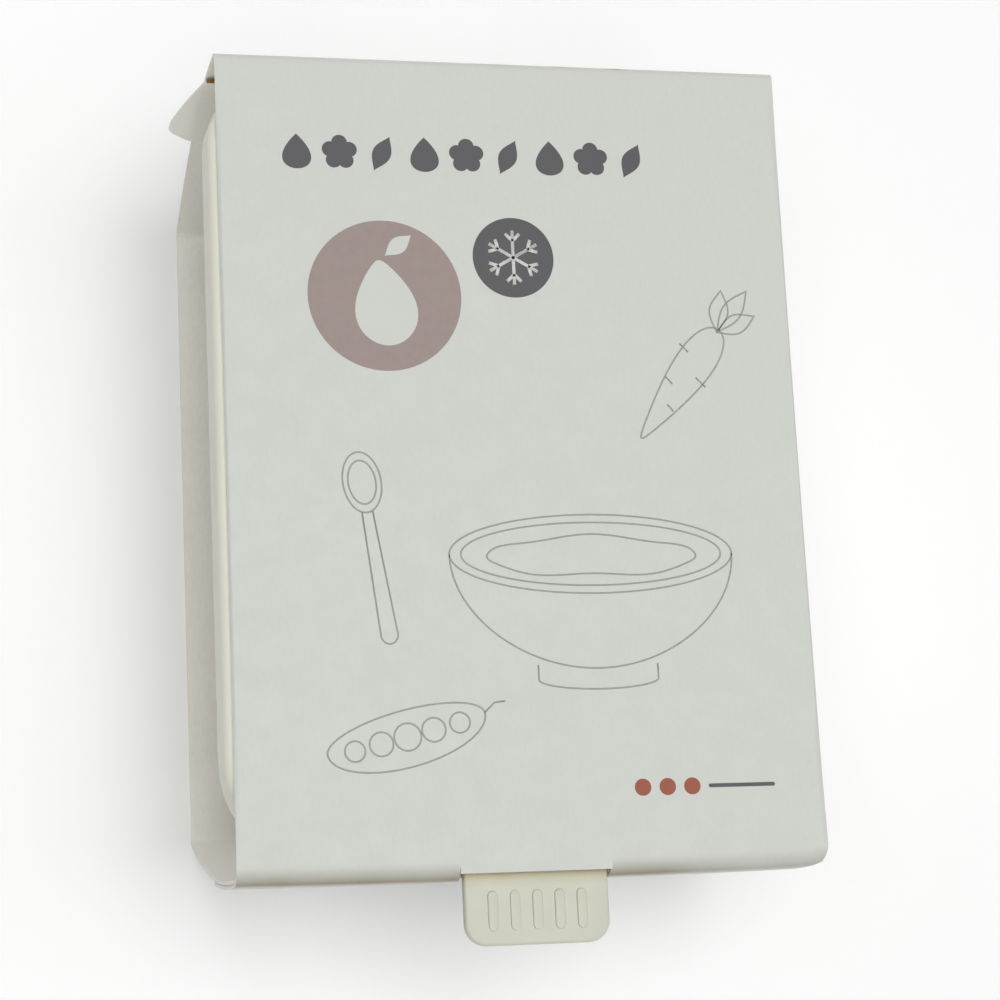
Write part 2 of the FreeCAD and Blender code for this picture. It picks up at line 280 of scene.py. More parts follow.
class Nodes:
    """Short calls for the nodes of a material or a world."""

    def __init__(self, tree):
        self.tree = tree

    def feed(self, socket, item):
        """Link an output to a socket, or set the socket to a plain value."""
        if isinstance(item, bpy.types.NodeSocket):
            self.tree.links.new(item, socket)
        else:
            socket.default_value = item

    def node(self, kind, **inputs):
        """A new node with these inputs linked or set."""
        node = self.tree.nodes.new("ShaderNode" + kind)
        for name, item in inputs.items():
            self.feed(node.inputs[name], item)
        return node

    def math(self, operation, first, second):
        node = self.node("Math")
        node.operation = operation
        self.feed(node.inputs[0], first)
        self.feed(node.inputs[1], second)
        return node.outputs[0]

    def span(self, value, low, high, to_low, to_high):
        """The value with its range from low to high stretched to another range."""
        limits = {"From Min": low, "From Max": high, "To Min": to_low, "To Max": to_high}
        return self.node("MapRange", Value=value, **limits).outputs["Result"]


class Finish(Nodes):
    """A material with a Principled shader, and the textures that feed it."""

    def __init__(self, name, roughness, specular):
        self.material = bpy.data.materials.new(name)
        self.material.use_nodes = True
        super().__init__(self.material.node_tree)
        self.give("Roughness", roughness)
        self.give("Specular IOR Level", specular)
        self.place = self.node("TexCoord").outputs["Object"]

    def give(self, name, item):
        """Link or set an input of the shader."""
        self.feed(self.tree.nodes["Principled BSDF"].inputs[name], item)

    def noise(self, size, detail, stretch=None):
        """Noise with features of about this size, in metres; stretch draws it out along an axis."""
        place = self.place
        if stretch is not None:
            place = self.node("Mapping", Vector=place, Scale=stretch).outputs["Vector"]
        return self.node("TexNoise", Vector=place, Scale=1 / size, Detail=detail).outputs["Fac"]

    def ramp(self, value, stops):
        """Colour ramp of (position, colour) stops."""
        node = self.node("ValToRGB", Fac=value)
        elements = node.color_ramp.elements
        while len(elements) < len(stops):
            elements.new(0.5)
        for element, (position, colour) in zip(elements, stops):
            element.position = position
            element.color = colour
        return node.outputs["Color"]

    def cloud(self, value, colour, dark, light):
        """This colour, a little darker or lighter with the value."""
        return self.ramp(value, [(0.3, tinted(colour, dark)), (0.7, tinted(colour, light))])

    def mix(self, value, first, second, kind="MIX"):
        node = self.node("Mix")
        node.data_type = "RGBA"
        node.blend_type = kind
        for socket, item in zip([s for s in node.inputs if s.enabled], (value, first, second)):
            self.feed(socket, item)
        return [s for s in node.outputs if s.enabled][0]

    def axis(self, name):
        """One of the coordinates X, Y and Z of the point."""
        return self.node("SeparateXYZ", Vector=self.place).outputs[name]

    def rough(self, value, low, high):
        self.give("Roughness", self.span(value, 0.3, 0.7, low, high))

    def bump(self, height, strength, distance):
        node = self.node("Bump", Height=height, Strength=strength, Distance=distance)
        self.give("Normal", node.outputs["Normal"])


def coated(name):
    """Coated carton board: nearly even, with paper tooth and a soft shine; also gives its colour."""
    finish = Finish(name, 0.5, 0.35)
    cloud = finish.cloud(finish.noise(16 * MM, 3), srgb(208, 210, 204), 0.995, 1.004)
    fibre = finish.noise(0.5 * MM, 4, stretch=(1.0, 0.45, 1.0))
    speck = finish.ramp(fibre, [(0.35, grey(0.98)), (0.62, WHITE)])
    finish.rough(finish.noise(3 * MM, 2), 0.44, 0.58)
    finish.bump(fibre, 0.18, 0.02 * MM)
    return finish, finish.mix(1.0, cloud, speck, "MULTIPLY")


def board_face():
    finish, board = coated("coated_board")
    finish.give("Base Color", board)
    return finish.material


def tab_fold_face():
    """Coated board whose tab fold has painted shade down its outer round and a brown worn line, less so
    towards the right end.
    """
    finish, board = coated("coated_board_tab_fold")
    height = finish.span(finish.axis("Z"), FACE_Z - FOLD_SHADE_AND_RUB_HEIGHT, FACE_Z, 0.0, 1.0)
    # Painted shade down the fold with its brown worn line, patchy along the fold and weaker towards the
    # right end.
    darkening = finish.ramp(height, [(place, (*share, 1.0)) for place, share in FOLD_SHADE_AND_RUB])
    patchy = finish.span(finish.noise(9 * MM, 3, stretch=(1.0, 0.0, 0.0)), 0.35, 0.6, 0.8, 1.0)
    ending = finish.span(finish.axis("X"), *FOLD_SHADE_AND_RUB_ENDS, 1.0, 0.4)
    worn = finish.mix(finish.math("MULTIPLY", patchy, ending), WHITE, darkening)
    finish.give("Base Color", finish.mix(1.0, board, worn, "MULTIPLY"))
    return finish.material


def far_fold_face():
    """Coated board with a few brown specks where the fold's coating has cracked."""
    finish, board = coated("coated_board_far_fold")
    height = finish.span(finish.axis("Z"), FACE_Z - FAR_FOLD_ROUND, FACE_Z, 0.0, 1.0)
    band = finish.ramp(height, [(0.12, BLACK), (0.28, WHITE), (0.58, WHITE), (0.74, BLACK)])
    start = FAR_SPECKS[0][0] - SPECK
    reach = FAR_SPECKS[-1][0] + SPECK - start
    stops = [(0.0, BLACK)]
    for x, strength in FAR_SPECKS:
        middle = (x - start) / reach
        half = SPECK / reach * 0.98
        stops += [(middle - half, BLACK), (middle, grey(strength)), (middle + half, BLACK)]
    specks = finish.ramp(finish.span(finish.axis("X"), start, start + reach, 0.0, 1.0), stops)
    cracked = finish.mix(1.0, band, specks, "MULTIPLY")
    finish.give("Base Color", finish.mix(cracked, board, srgb(150, 126, 98)))
    return finish.material


def board_back():
    """Uncoated inner side: warmer, rougher, with fibres; its near-white colour, lighter than the coated
    face, is painted light that makes up for the shade inside the wrap.
    """
    finish = Finish("uncoated_board", 0.85, 0.25)
    cloud = finish.cloud(finish.noise(9 * MM, 4), srgb(254, 252, 245), 0.975, 1.01)
    fibre = finish.noise(0.35 * MM, 5, stretch=(1.0, 0.3, 1.0))
    speck = finish.ramp(fibre, [(0.3, (0.96, 0.955, 0.94, 1.0)), (0.6, WHITE)])
    finish.give("Base Color", finish.mix(1.0, cloud, speck, "MULTIPLY"))
    finish.bump(fibre, 0.4, 0.04 * MM)
    return finish.material


def cut_edge(name, size, stretch, stops):
    """Cut edge of the board, with its layers just showing."""
    finish = Finish(name, 0.9, 0.2)
    grain = finish.noise(size, 4, stretch)
    finish.give("Base Color", finish.ramp(grain, stops))
    finish.bump(grain, 0.5, 0.05 * MM)
    return finish.material


def ink(name, colour, worn=0.94):
    """Matt ink on the coated board, a little uneven."""
    finish = Finish(name, 0.5, 0.35)
    body = finish.noise(1.2 * MM, 5)
    finish.give("Base Color", finish.cloud(body, colour, worn, 2 - worn))
    finish.rough(body, 0.45, 0.56)
    return finish.material


def silicone(name, colour, lip_shade_y=None):
    """Soft matt silicone: even colour and a fine mould texture, with painted shade in warm tan, darkest at a
    place along Y if given and fading over 1.8 mm before it.
    """
    finish = Finish(name, 0.48, 0.4)
    tone = finish.cloud(finish.noise(11 * MM, 2), colour, 0.99, 1.008)
    # Painted shade where the slot's lip is over the tab: warm tan, darkest at the lip.
    if lip_shade_y is not None:
        along = finish.span(finish.axis("Y"), lip_shade_y - 1.8 * MM, lip_shade_y, 0.0, 1.0)
        darkening = finish.ramp(along, [(0.0, WHITE), (0.5, (0.92, 0.89, 0.81, 1.0)),
                                  (1.0, (0.74, 0.68, 0.53, 1.0))])
        tone = finish.mix(1.0, tone, darkening, "MULTIPLY")
    finish.give("Base Color", tone)
    finish.rough(finish.noise(2.5 * MM, 3), 0.42, 0.55)
    finish.bump(finish.noise(0.22 * MM, 3), 0.12, 0.03 * MM)
    finish.give("Subsurface Weight", 0.2)
    finish.give("Subsurface Scale", 1.0 * MM)
    finish.give("Subsurface Radius", (1.0, 0.85, 0.6))
    return finish.material


COATED = board_face()
TAB_FOLD = tab_fold_face()
FAR_FOLD = far_fold_face()
UNCOATED = board_back()
# Pale grain of the cut edges, lighter than the coated face: painted light for edges that face away from the
# lamps.
CUT_EDGE = cut_edge("board_cut_edge", 0.3 * MM, (1.0, 0.15, 3.0),
                    [(0.3, srgb(226, 223, 212)), (0.65, srgb(246, 245, 239))])
BROWN_EDGE = cut_edge("browned_cut_edge", 0.6 * MM, None,
                      [(0.3, srgb(120, 84, 46)), (0.7, srgb(176, 124, 66))])
DARK_INK = ink("dark_grey_ink", srgb(75, 75, 78))
MAUVE_INK = ink("mauve_ink", srgb(152, 136, 131))
GREY_INK = ink("fine_grey_ink", srgb(158, 158, 153))
RED_INK = ink("brick_red_ink", srgb(147, 75, 52))
PAPER_INK = ink("unprinted_white", srgb(207, 209, 203), 0.99)
# The lid's silicone is the tab's and tray's silicone painted lighter: painted light for the lid, whose edge
# lies in shade under the front panel.
LID_SILICONE_LIGHTENED = silicone("lid_silicone", srgb(226, 226, 213))
# The tab's silicone has painted shade at the slot's lip.
TAB_SILICONE = silicone("tab_silicone", srgb(205, 205, 190), -FOLD_Y + SLOT_INSET)
TRAY_SILICONE = silicone("tray_silicone", srgb(203, 202, 187))


# ---- making pieces ----

def shift(bm, verts, move):
    bmesh.ops.translate(bm, vec=move, verts=verts)


def made_verts(made):
    return [g for g in made["geom"] if isinstance(g, bmesh.types.BMVert)]


def draw_out(bm, face, move, **more):
    """Draw a face out by a move, leaving walls; gives the face where it comes to lie."""
    made = bmesh.ops.extrude_face_region(bm, geom=[face], **more)
    shift(bm, made_verts(made), move)
    return [g for g in made["geom"] if isinstance(g, bmesh.types.BMFace)][0]


def bevel(bm, geom, size, steps, affect="EDGES"):
    """Round these edges, or with affect="VERTICES" these corners."""
    bmesh.ops.bevel(bm, geom=geom, offset=size, affect=affect, segments=steps, profile=0.5, material=-1)


def inset(bm, face, thickness, depth=0.0):
    bmesh.ops.inset_region(bm, faces=[face], thickness=thickness, depth=depth, use_even_offset=True)


def cut(bm, place, way, **more):
    """Cut the whole mesh along a plane."""
    return bmesh.ops.bisect_plane(bm, geom=bm.verts[:] + bm.edges[:] + bm.faces[:], plane_co=place,
                                  plane_no=way, **more)


def face_out(bm):
    bmesh.ops.recalc_face_normals(bm, faces=bm.faces[:])


def level_faces(bm, z):
    return [f for f in bm.faces if all(abs(v.co.z - z) < NEAR for v in f.verts)]


def level_edges(bm, z):
    return [e for e in bm.edges if all(abs(v.co.z - z) < NEAR for v in e.verts)]


def upright_edges(bm):
    return [e for e in bm.edges if (e.verts[0].co - e.verts[1].co).normalized().cross(UP).length < 1e-6]


def piece_from(bm, name, *materials):
    """Object at the origin from a bmesh in its place."""
    mesh = bpy.data.meshes.new(name)
    bm.to_mesh(mesh)
    bm.free()
    piece = bpy.data.objects.new(name, mesh)
    bpy.context.scene.collection.objects.link(piece)
    for material in materials:
        mesh.materials.append(material)
    return piece


def shown_mesh(item):
    """Mesh of an object as its modifiers or its bevel shape it."""
    bpy.context.view_layer.update()
    graph = bpy.context.evaluated_depsgraph_get()
    return bpy.data.meshes.new_from_object(item.evaluated_get(graph))


def settle(piece, sharp):
    """Turn the piece's modifiers into its mesh, and shade it smooth between its sharp edges."""
    mesh = shown_mesh(piece)
    piece.modifiers.clear()
    piece.data = mesh
    mesh.shade_smooth()
    mesh.set_sharp_from_angle(angle=sharp)
    return piece


def face_towards(bm, outwards):
    """Turn the sheet's faces so that the coated side looks outwards."""
    face_out(bm)
    bm.normal_update()
    outermost = max(bm.faces, key=lambda f: f.calc_center_median().dot(outwards))
    if outermost.normal.dot(outwards) < 0:
        bmesh.ops.reverse_faces(bm, faces=bm.faces[:])


def bent_sheet(line, left, right, outwards, columns=BOARD_COLUMNS):
    """Layer of board: a line in the YZ plane, drawn out along X."""
    bm = bmesh.new()
    verts = [bm.verts.new((left, y, z)) for y, z in line]
    edges = [bm.edges.new(pair) for pair in zip(verts, verts[1:])]
    for _ in range(columns):
        made = bmesh.ops.extrude_edge_only(bm, edges=edges)
        verts = made_verts(made)
        edges = [g for g in made["geom"] if isinstance(g, bmesh.types.BMEdge)
                 and g.verts[0] in verts and g.verts[1] in verts]
        shift(bm, verts, ((right - left) / columns, 0, 0))
    face_towards(bm, outwards)
    return bm


def board_piece(bm, name, node, thickness=BOARD - TUCK, face=COATED):
    """Give a layer its thickness on the uncoated side, and put it in the place of a CAD node."""
    piece = piece_from(bm, name, face, UNCOATED, CUT_EDGE)
    solid = piece.modifiers.new("board", "SOLIDIFY")
    solid.thickness = thickness
    solid.offset = -1
    solid.use_even_offset = True
    solid.material_offset = 1
    solid.material_offset_rim = 2
    settle(piece, BOARD_SHARP)
    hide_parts(node)
    return piece


def round_corners(bm, corners, radius):
    """Round the sheet's corners nearest to the given points."""
    bevel(bm, [min(bm.verts, key=lambda v: (v.co - c).length) for c in corners], radius, 6, "VERTICES")


def arc(centre, radius, start, end, steps):
    """Points on an arc in a plane, from one angle to another."""
    return [(centre[0] + radius * math.cos(start + (end - start) * i / steps),
             centre[1] + radius * math.sin(start + (end - start) * i / steps)) for i in range(steps + 1)]


def fold_line(fold_y, fold_z, lean, radius, lead, length):
    """Outer line of board that comes level along +Y, bends down at a fold and leans back inwards."""
    turn = math.pi / 2 + lean
    take = radius * math.tan(turn / 2)
    points = [(fold_y - take - lead, fold_z)]
    points += arc((fold_y - take, fold_z - radius), radius, math.pi / 2, math.pi / 2 - turn, FOLD_STEPS)
    down = Vector((-math.sin(lean), -math.cos(lean)))
    first = take + lead
    for i in range(PANEL_STEPS + 1):
        along = first + (length - first) * i / PANEL_STEPS
        points.append((fold_y + down.x * along, fold_z + down.y * along))
    return points


def height_share(z):
    """How far up between the back folds and the front folds, from 0 to 1."""
    return min(max((z - BOARD / 2) / (FOLD_Z - BOARD / 2), 0.0), 1.0)


def bow_out(bm, side, bow):
    """Push a layer of an end panel out between its folds."""
    for v in bm.verts:
        share = height_share(v.co.z)
        v.co.y += side * 4 * bow * share * (1 - share)


def flare_at(x):
    """How far the tab fold is pushed out at a place across the carton."""
    across = 2 * (x - LEFT) / (RIGHT - LEFT) - 1
    return FLARE - across * across * (FLARE - (FLARE_LEFT if across < 0 else FLARE_RIGHT))


def flare_out(bm, level_from, level_to):
    """Push the tab fold out, from nothing at level_from on the front panel and at the back fold."""
    for v in bm.verts:
        share = height_share(v.co.z)
        if v.co.z > FACE_Z - 0.05 * MM:
            share = min(max((v.co.y - level_from) / (level_to - level_from), 0.0), 1.0)
        v.co.y -= flare_at(v.co.x) * share


def cut_across(bm, places):
    """Add cuts across the sheet at these places along X."""
    for x in places:
        cut(bm, (x, 0, 0), SIDEWAYS)


def wear_corner(bm, level_from):
    """Round the worn corner where the tab fold meets the right edge."""
    for v in bm.verts:
        across = min((v.co.x - (RIGHT - CRUSH.x)) / CRUSH.x, 1.0)
        if across > 0:
            near = min(max((level_from - v.co.y) / (FOLD_Y + level_from), 0.0), 1.0)
            deep = min(max(1 - (FACE_Z - v.co.z) / CRUSH_DEPTH, 0.0), 1.0)
            v.co.y += CRUSH.y * (1 - math.sqrt(1 - across * across)) * near * deep


def outer_fold(lean):
    """Corner of the outer faces at a front fold, for board whose middle plane is on the fold's axis."""
    rise = FACE_Z - FOLD_Z
    return FOLD_Y + (BOARD / 2 + rise * math.sin(lean)) / math.cos(lean), FACE_Z


# ---- carton wrap ----

def fold_start(lean, radius):
    """Where the flat front panel gives way to a fold strip, as a distance along Y."""
    return outer_fold(lean)[0] - radius * math.tan((math.pi / 2 + lean) / 2) - FOLD_LEAD


def front_sheet():
    """Front panel between its two folds, with the lip of board at the tab's slot."""
    far = fold_start(LEAN_FAR, FAR_FOLD_ROUND)
    near = -fold_start(LEAN_TAB, TAB_FOLD_ROUND)
    rows = 24
    line = [(near + (far - near) * i / rows, FACE_Z) for i in range(rows + 1)]
    bm = bent_sheet(line, LEFT, RIGHT, UP, columns=1)
    cut_across(bm, (SLOT_LEFT, SLOT_RIGHT, LEFT + EDGE_ROLL, RIGHT - EDGE_ROLL,
                    LEFT + 2 * EDGE_ROLL, RIGHT - 2 * EDGE_ROLL))
    lip = [e for e in bm.edges if all(abs(v.co.y - near) < 1e-6 for v in e.verts)
           and SLOT_LEFT < (e.verts[0].co.x + e.verts[1].co.x) / 2 < SLOT_RIGHT]
    made = bmesh.ops.extrude_edge_only(bm, edges=lip)
    shift(bm, made_verts(made), (0, SLOT_INSET - FOLD_Y - near, 0))
    for v in bm.verts:
        if min(v.co.x - LEFT, RIGHT - v.co.x) < 1e-6:
            middle = max(1 - (v.co.y / near) ** 2, 0.0)
            v.co.x -= math.copysign(EDGE_BOW * middle, v.co.x)
            v.co.z -= EDGE_ROLL * 0.6 * min(4 * middle, 1.0)
    face_towards(bm, UP)
    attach(board_piece(bm, "front_sheet", "front_panel", BOARD), "cover")


def far_fold():
    """Far fold of the front panel with the glue flap outside the far end panel."""
    y, z = outer_fold(LEAN_FAR)
    line = fold_line(y, z, LEAN_FAR, FAR_FOLD_ROUND, FOLD_LEAD, GLUE_FLAP)
    bm = bent_sheet(line, LEFT, RIGHT, UP)
    low_y, low_z = line[-1]
    round_corners(bm, [Vector((x, low_y, low_z)) for x in (LEFT, RIGHT)], CORNER)
    bow_out(bm, 1, BOW_FAR)
    piece = board_piece(bm, "glue_flap_sheet", "glue_flap", face=FAR_FOLD)
    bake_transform(piece)


def end_flap(side, left, right):
    """Flap beside the tab with its half of the tab fold."""
    y, z = outer_fold(LEAN_TAB)
    line = fold_line(y, z, LEAN_TAB, TAB_FOLD_ROUND, FOLD_LEAD, END_FLAP)
    line = [(-py, pz) for py, pz in line]
    bm = bent_sheet(line, left, right, UP)
    cut_across(bm, [RIGHT - CRUSH.x * share for share in CRUSH_CUTS])
    low_y, low_z = line[-1]
    round_corners(bm, [Vector((x, low_y, low_z)) for x in (left, right)], CORNER)
    level_from, level_to = line[0][0], line[1][0]
    bow_out(bm, -1, BOW_TAB)
    flare_out(bm, level_from, level_to)
    wear_corner(bm, level_from)
    node = "end_flap_" + side
    piece = board_piece(bm, node + "_sheet", node, face=TAB_FOLD)
    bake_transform(piece)


front_sheet()
far_fold()
end_flap("left", LEFT, SLOT_LEFT)
end_flap("right", SLOT_RIGHT, RIGHT)


def rise_line(lean, length):
    """Outer line of an end panel at +Y: level board, the back fold, then up to its free edge."""
    up = Vector((math.sin(lean), math.cos(lean)))
    out = Vector((math.cos(lean), -math.sin(lean)))
    middle = Vector((BACK_Y, BOARD / 2))
    corner_y = BACK_Y + out.x * BOARD / 2 + up.x * (out.y * BOARD / 2 * -1 - BOARD / 2) / up.y
    turn = math.pi / 2 - lean
    take = BACK_FOLD_ROUND * math.tan(turn / 2)
    points = [(corner_y - take - FOLD_LEAD, 0.0)]
    points += arc((corner_y - take, BACK_FOLD_ROUND), BACK_FOLD_ROUND, -math.pi / 2, turn - math.pi / 2,
                  FOLD_STEPS)
    first = take + FOLD_LEAD
    for i in range(2 * PANEL_STEPS + 1):
        along = first + (length - first) * i / (2 * PANEL_STEPS)
        end = middle + up * along + out * BOARD / 2
        points.append((end.x, end.y))
    return points


def panel_reach(lean):
    """From the back fold's corner to the front fold's axis, along an end panel."""
    return (FOLD_Y - BACK_Y) * math.sin(lean) + (FOLD_Z - BOARD / 2) * math.cos(lean)


def back_and_far_end():
    """Back panel, and the far end panel that stops below the far fold."""
    far = rise_line(LEAN_FAR, panel_reach(LEAN_FAR) - FAR_PANEL_DROP)
    near = rise_line(LEAN_TAB, far[-1][1])
    bm = bent_sheet([(-near[0][0], 0.0), far[0]], LEFT, RIGHT, -UP)
    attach(board_piece(bm, "back_sheet", "back_panel", BOARD), "wrap")
    bm = bent_sheet(far, LEFT, RIGHT, -UP)
    bow_out(bm, 1, BOW_FAR)
    top = far[-1][1]
    for v in bm.verts:
        v.co.y -= EDGE_STANDS_IN * max(1 - (top - v.co.z) / EDGE_STANDS_OVER, 0.0)
    piece = board_piece(bm, "far_end_sheet", "far_end_panel", BOARD)
    piece.data.materials.append(BROWN_EDGE)
    for face in piece.data.polygons:
        if face.material_index == 2 and face.normal.z > 0.5:
            face.material_index = 3
    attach(piece, "wrap")


def tab_end():
    """Tab end panel, that rises behind the two flaps, with a notch for the tab."""
    top = (SHOULDER_Z - BOARD / 2) / math.cos(LEAN_TAB)
    bm = bent_sheet([(-y, z) for y, z in rise_line(LEAN_TAB, top)], LEFT, RIGHT, -UP)
    cut_across(bm, (SLOT_LEFT, SLOT_RIGHT))
    notch_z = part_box("tab_end_panel")[1].z
    cut(bm, (0, 0, notch_z), UP)
    notch = [f for f in bm.faces if f.calc_center_median().z > notch_z
             and SLOT_LEFT < f.calc_center_median().x < SLOT_RIGHT]
    bmesh.ops.delete(bm, geom=notch, context="FACES")
    bow_out(bm, -1, BOW_TAB)
    flare_out(bm, -FOLD_Y, -FOLD_Y)
    for v in bm.verts:
        v.co.y -= FLAP_CLOSE * height_share(v.co.z)
    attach(board_piece(bm, "tab_end_sheet", "tab_end_panel", BOARD), "wrap")


def ear():
    """Ear on the far end's left edge, level with its inner side and bent outwards on its crease."""
    up = Vector((0, math.sin(LEAN_FAR), math.cos(LEAN_FAR)))
    out = Vector((0, math.cos(LEAN_FAR), -math.sin(LEAN_FAR)))
    root = Vector((LEFT, FOLD_Y, FOLD_Z)) - up * EAR_TOP - out * (BOARD / 2 + TUCK)
    low = GLUE_FLAP - CORNER - EAR_TOP
    tip_low = low - EAR_SLANT
    outline = [(0, 0), (EAR_REACH, tip_low - EAR_TIP), (EAR_REACH, tip_low), (0, low)]
    bm = bmesh.new()
    bm.faces.new([bm.verts.new((x, -y, 0)) for x, y in outline])
    tip = [v for v in bm.verts if v.co.x > EAR_REACH / 2]
    bevel(bm, tip, CORNER * 0.7, 5, "VERTICES")
    steps = [EAR_CREASE * i / EAR_CUTS for i in range(1, EAR_CUTS + 1)]
    steps += [EAR_CREASE + (EAR_REACH - EAR_CREASE) * i / EAR_CUTS for i in range(1, EAR_CUTS)]
    cuts = [(Vector((x, 0, 0)), SIDEWAYS) for x in steps]
    cuts += [(Vector((0, -low * i / EAR_ROWS, 0)), LENGTHWAYS) for i in range(1, EAR_ROWS)]
    for place, way in cuts:
        cut(bm, place, way)
    for v in bm.verts:
        bent = min(v.co.x / EAR_CREASE, 1.0) * EAR_ANGLE
        radius = EAR_CREASE / EAR_ANGLE
        past = max(v.co.x - EAR_CREASE, 0.0)
        aside = radius * math.sin(bent) + past * math.cos(bent)
        outward = radius * (1 - math.cos(bent)) + past * math.sin(bent)
        v.co = root - SIDEWAYS * aside + up * v.co.y + out * outward
    bow_out(bm, 1, BOW_FAR)
    face_towards(bm, out)
    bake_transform(board_piece(bm, "ear_sheet", "ear"))


back_and_far_end()
tab_end()
ear()


# ---- lid ----

def slab(low, high, corner, far_corner):
    """Solid plate with round corners in plan; also gives its top and bottom faces."""
    bm = bmesh.new()
    bmesh.ops.create_grid(bm, x_segments=1, y_segments=1, size=0.5)
    bmesh.ops.scale(bm, vec=(high.x - low.x, high.y - low.y, 1), verts=bm.verts[:])
    middle_y = (low.y + high.y) / 2
    shift(bm, bm.verts[:], ((low.x + high.x) / 2, middle_y, low.z))
    far = [v for v in bm.verts if v.co.y > middle_y]
    near = [v for v in bm.verts if v not in far]
    for verts, radius in ((near, corner), (far, far_corner)):
        bevel(bm, verts, radius, 10, "VERTICES")
    draw_out(bm, bm.faces[:][0], UP * (high.z - low.z))
    face_out(bm)
    return bm, level_faces(bm, high.z)[0], level_faces(bm, low.z)[0]


def lid_sheet():
    """Whole lid: plate with a raised border, and a skirt round the rim of the tray."""
    bm, top, bottom = slab(LID_LOW, Vector((LID_HIGH.x, LID_FAR, LID_TOP)), LID_CORNER, LID_FAR_CORNER)
    inset(bm, bottom, LID_WALL)
    draw_out(bm, bottom, UP * (LID_TOP - LID_PLATE - LID_LOW.z))
    if bottom.is_valid:
        bmesh.ops.delete(bm, geom=[bottom], context="FACES_ONLY")
    inset(bm, top, BORDER)
    inset(bm, top, BORDER_SLOPE, -BORDER_STEP)
    face_out(bm)
    outer = [e for e in level_edges(bm, LID_TOP) if any(abs(f.normal.z) < 0.1 for f in e.link_faces)]
    bevel(bm, outer, LID_ROUND, 5)
    inner = [e for e in level_edges(bm, LID_TOP) if any(0.3 < f.normal.z < 0.9 for f in e.link_faces)]
    bevel(bm, inner, BORDER_ROUND, 3)
    for i in range(BEND_CUTS + 1):
        cut(bm, (0, BEND_Y + (2 * i / BEND_CUTS - 1) * BEND_HALF, 0), LENGTHWAYS)
    piece = piece_from(bm, "lid_sheet", LID_SILICONE_LIGHTENED)
    settle(piece, LID_SHARP)
    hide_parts("lid_panel", "lid_far_border")
    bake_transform(piece)


lid_sheet()


def block(low, high):
    bm = bmesh.new()
    bmesh.ops.create_cube(bm, size=1.0)
    bmesh.ops.scale(bm, vec=high - low, verts=bm.verts[:])
    shift(bm, bm.verts[:], (low + high) / 2)
    return bm


def grip_ribs():
    """Raised ribs with round ends, side by side near the tab's tip."""
    ribs = bmesh.new()
    middle = (TAB_LOW.x + TAB_HIGH.x) / 2
    for n in range(RIBS):
        x = middle + (n - (RIBS - 1) / 2) * RIB_PITCH
        low = Vector((x - RIB_WIDTH / 2, TAB_LOW.y + RIB_FROM_TIP, TAB_TOP - RIB_HEIGHT))
        rib = block(low, low + Vector((RIB_WIDTH, RIB_LENGTH, 2 * RIB_HEIGHT)))
        bevel(rib, upright_edges(rib), RIB_WIDTH * 0.49, 8)
        bevel(rib, level_edges(rib, TAB_HIGH.z), RIB_HEIGHT / 2, 3)
        mesh = bpy.data.meshes.new("rib")
        rib.to_mesh(mesh)
        rib.free()
        ribs.from_mesh(mesh)
        bpy.data.meshes.remove(mesh)
    return piece_from(ribs, "grip_ribs", TAB_SILICONE)


def tab():
    """Pull tab with round corners, soft edges and grip ribs."""
    bm = block(TAB_LOW, Vector((TAB_HIGH.x, TAB_HIGH.y, TAB_TOP)))
    bevel(bm, [e for e in upright_edges(bm) if abs(e.verts[0].co.y - TAB_LOW.y) < NEAR], TAB_CORNER, 12)
    rim = [e for e in bm.edges if abs(e.verts[0].co.z - e.verts[1].co.z) < NEAR
           and not all(abs(v.co.y - TAB_HIGH.y) < NEAR for v in e.verts)]
    bevel(bm, rim, TAB_EDGE, 4)
    piece = piece_from(bm, "tab_sheet", TAB_SILICONE)
    ribs = grip_ribs()
    join = piece.modifiers.new("ribs", "BOOLEAN")
    join.operation = "UNION"
    join.object = ribs
    settle(piece, LID_SHARP)
    bpy.data.objects.remove(ribs)
    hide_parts("pull_tab")
    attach(piece, "lid")


tab()


# ---- tray ----

def well_section():
    """Half section of a thin-walled well: up the outside, over the mouth and down the inside."""
    points = [(0.0, FOOT_Z)]
    outer_round = WELL_FOOT_ROUND + WELL_WALL
    outer_foot = WELL_FOOT + WELL_WALL
    points += arc((outer_foot - outer_round, FOOT_Z + outer_round), outer_round, -math.pi / 2, 0, 12)
    points.append((WELL_TOP + WELL_WALL, DECK_TOP))
    points += arc((WELL_TOP + MOUTH_ROUND, DECK_TOP - MOUTH_ROUND), MOUTH_ROUND, math.pi / 2, math.pi, 5)
    inner_z = FOOT_Z + WELL_WALL + WELL_FOOT_ROUND
    points += arc((WELL_FOOT - WELL_FOOT_ROUND, inner_z), WELL_FOOT_ROUND, 0, -math.pi / 2, 12)
    points.append((0.0, FOOT_Z + WELL_WALL))
    return points


def divider_outline():
    """Outline in XZ of the wall between two wells, with the dip in its top."""
    foot_z = FOOT_Z + WELL_WALL + WELL_FOOT_ROUND
    side = []
    for i in range(DIVIDER_STEPS + 1):
        z = DECK_TOP - (DECK_TOP - foot_z) * i / DIVIDER_STEPS
        r = WELL_TOP + (WELL_FOOT - WELL_TOP) * i / DIVIDER_STEPS + DIVIDER_SINK
        side.append((math.sqrt(r * r - DIVIDER_REACH * DIVIDER_REACH), z))
    dip_z = DECK_TOP - DIVIDER_DIP + DIP_WIDTH / 2
    dip = [(-DIP_WIDTH / 2, DECK_TOP)] + arc((0, dip_z), DIP_WIDTH / 2, math.pi, 2 * math.pi, 20)
    dip.append((DIP_WIDTH / 2, DECK_TOP))
    return dip + side + [(-x, z) for x, z in reversed(side)]


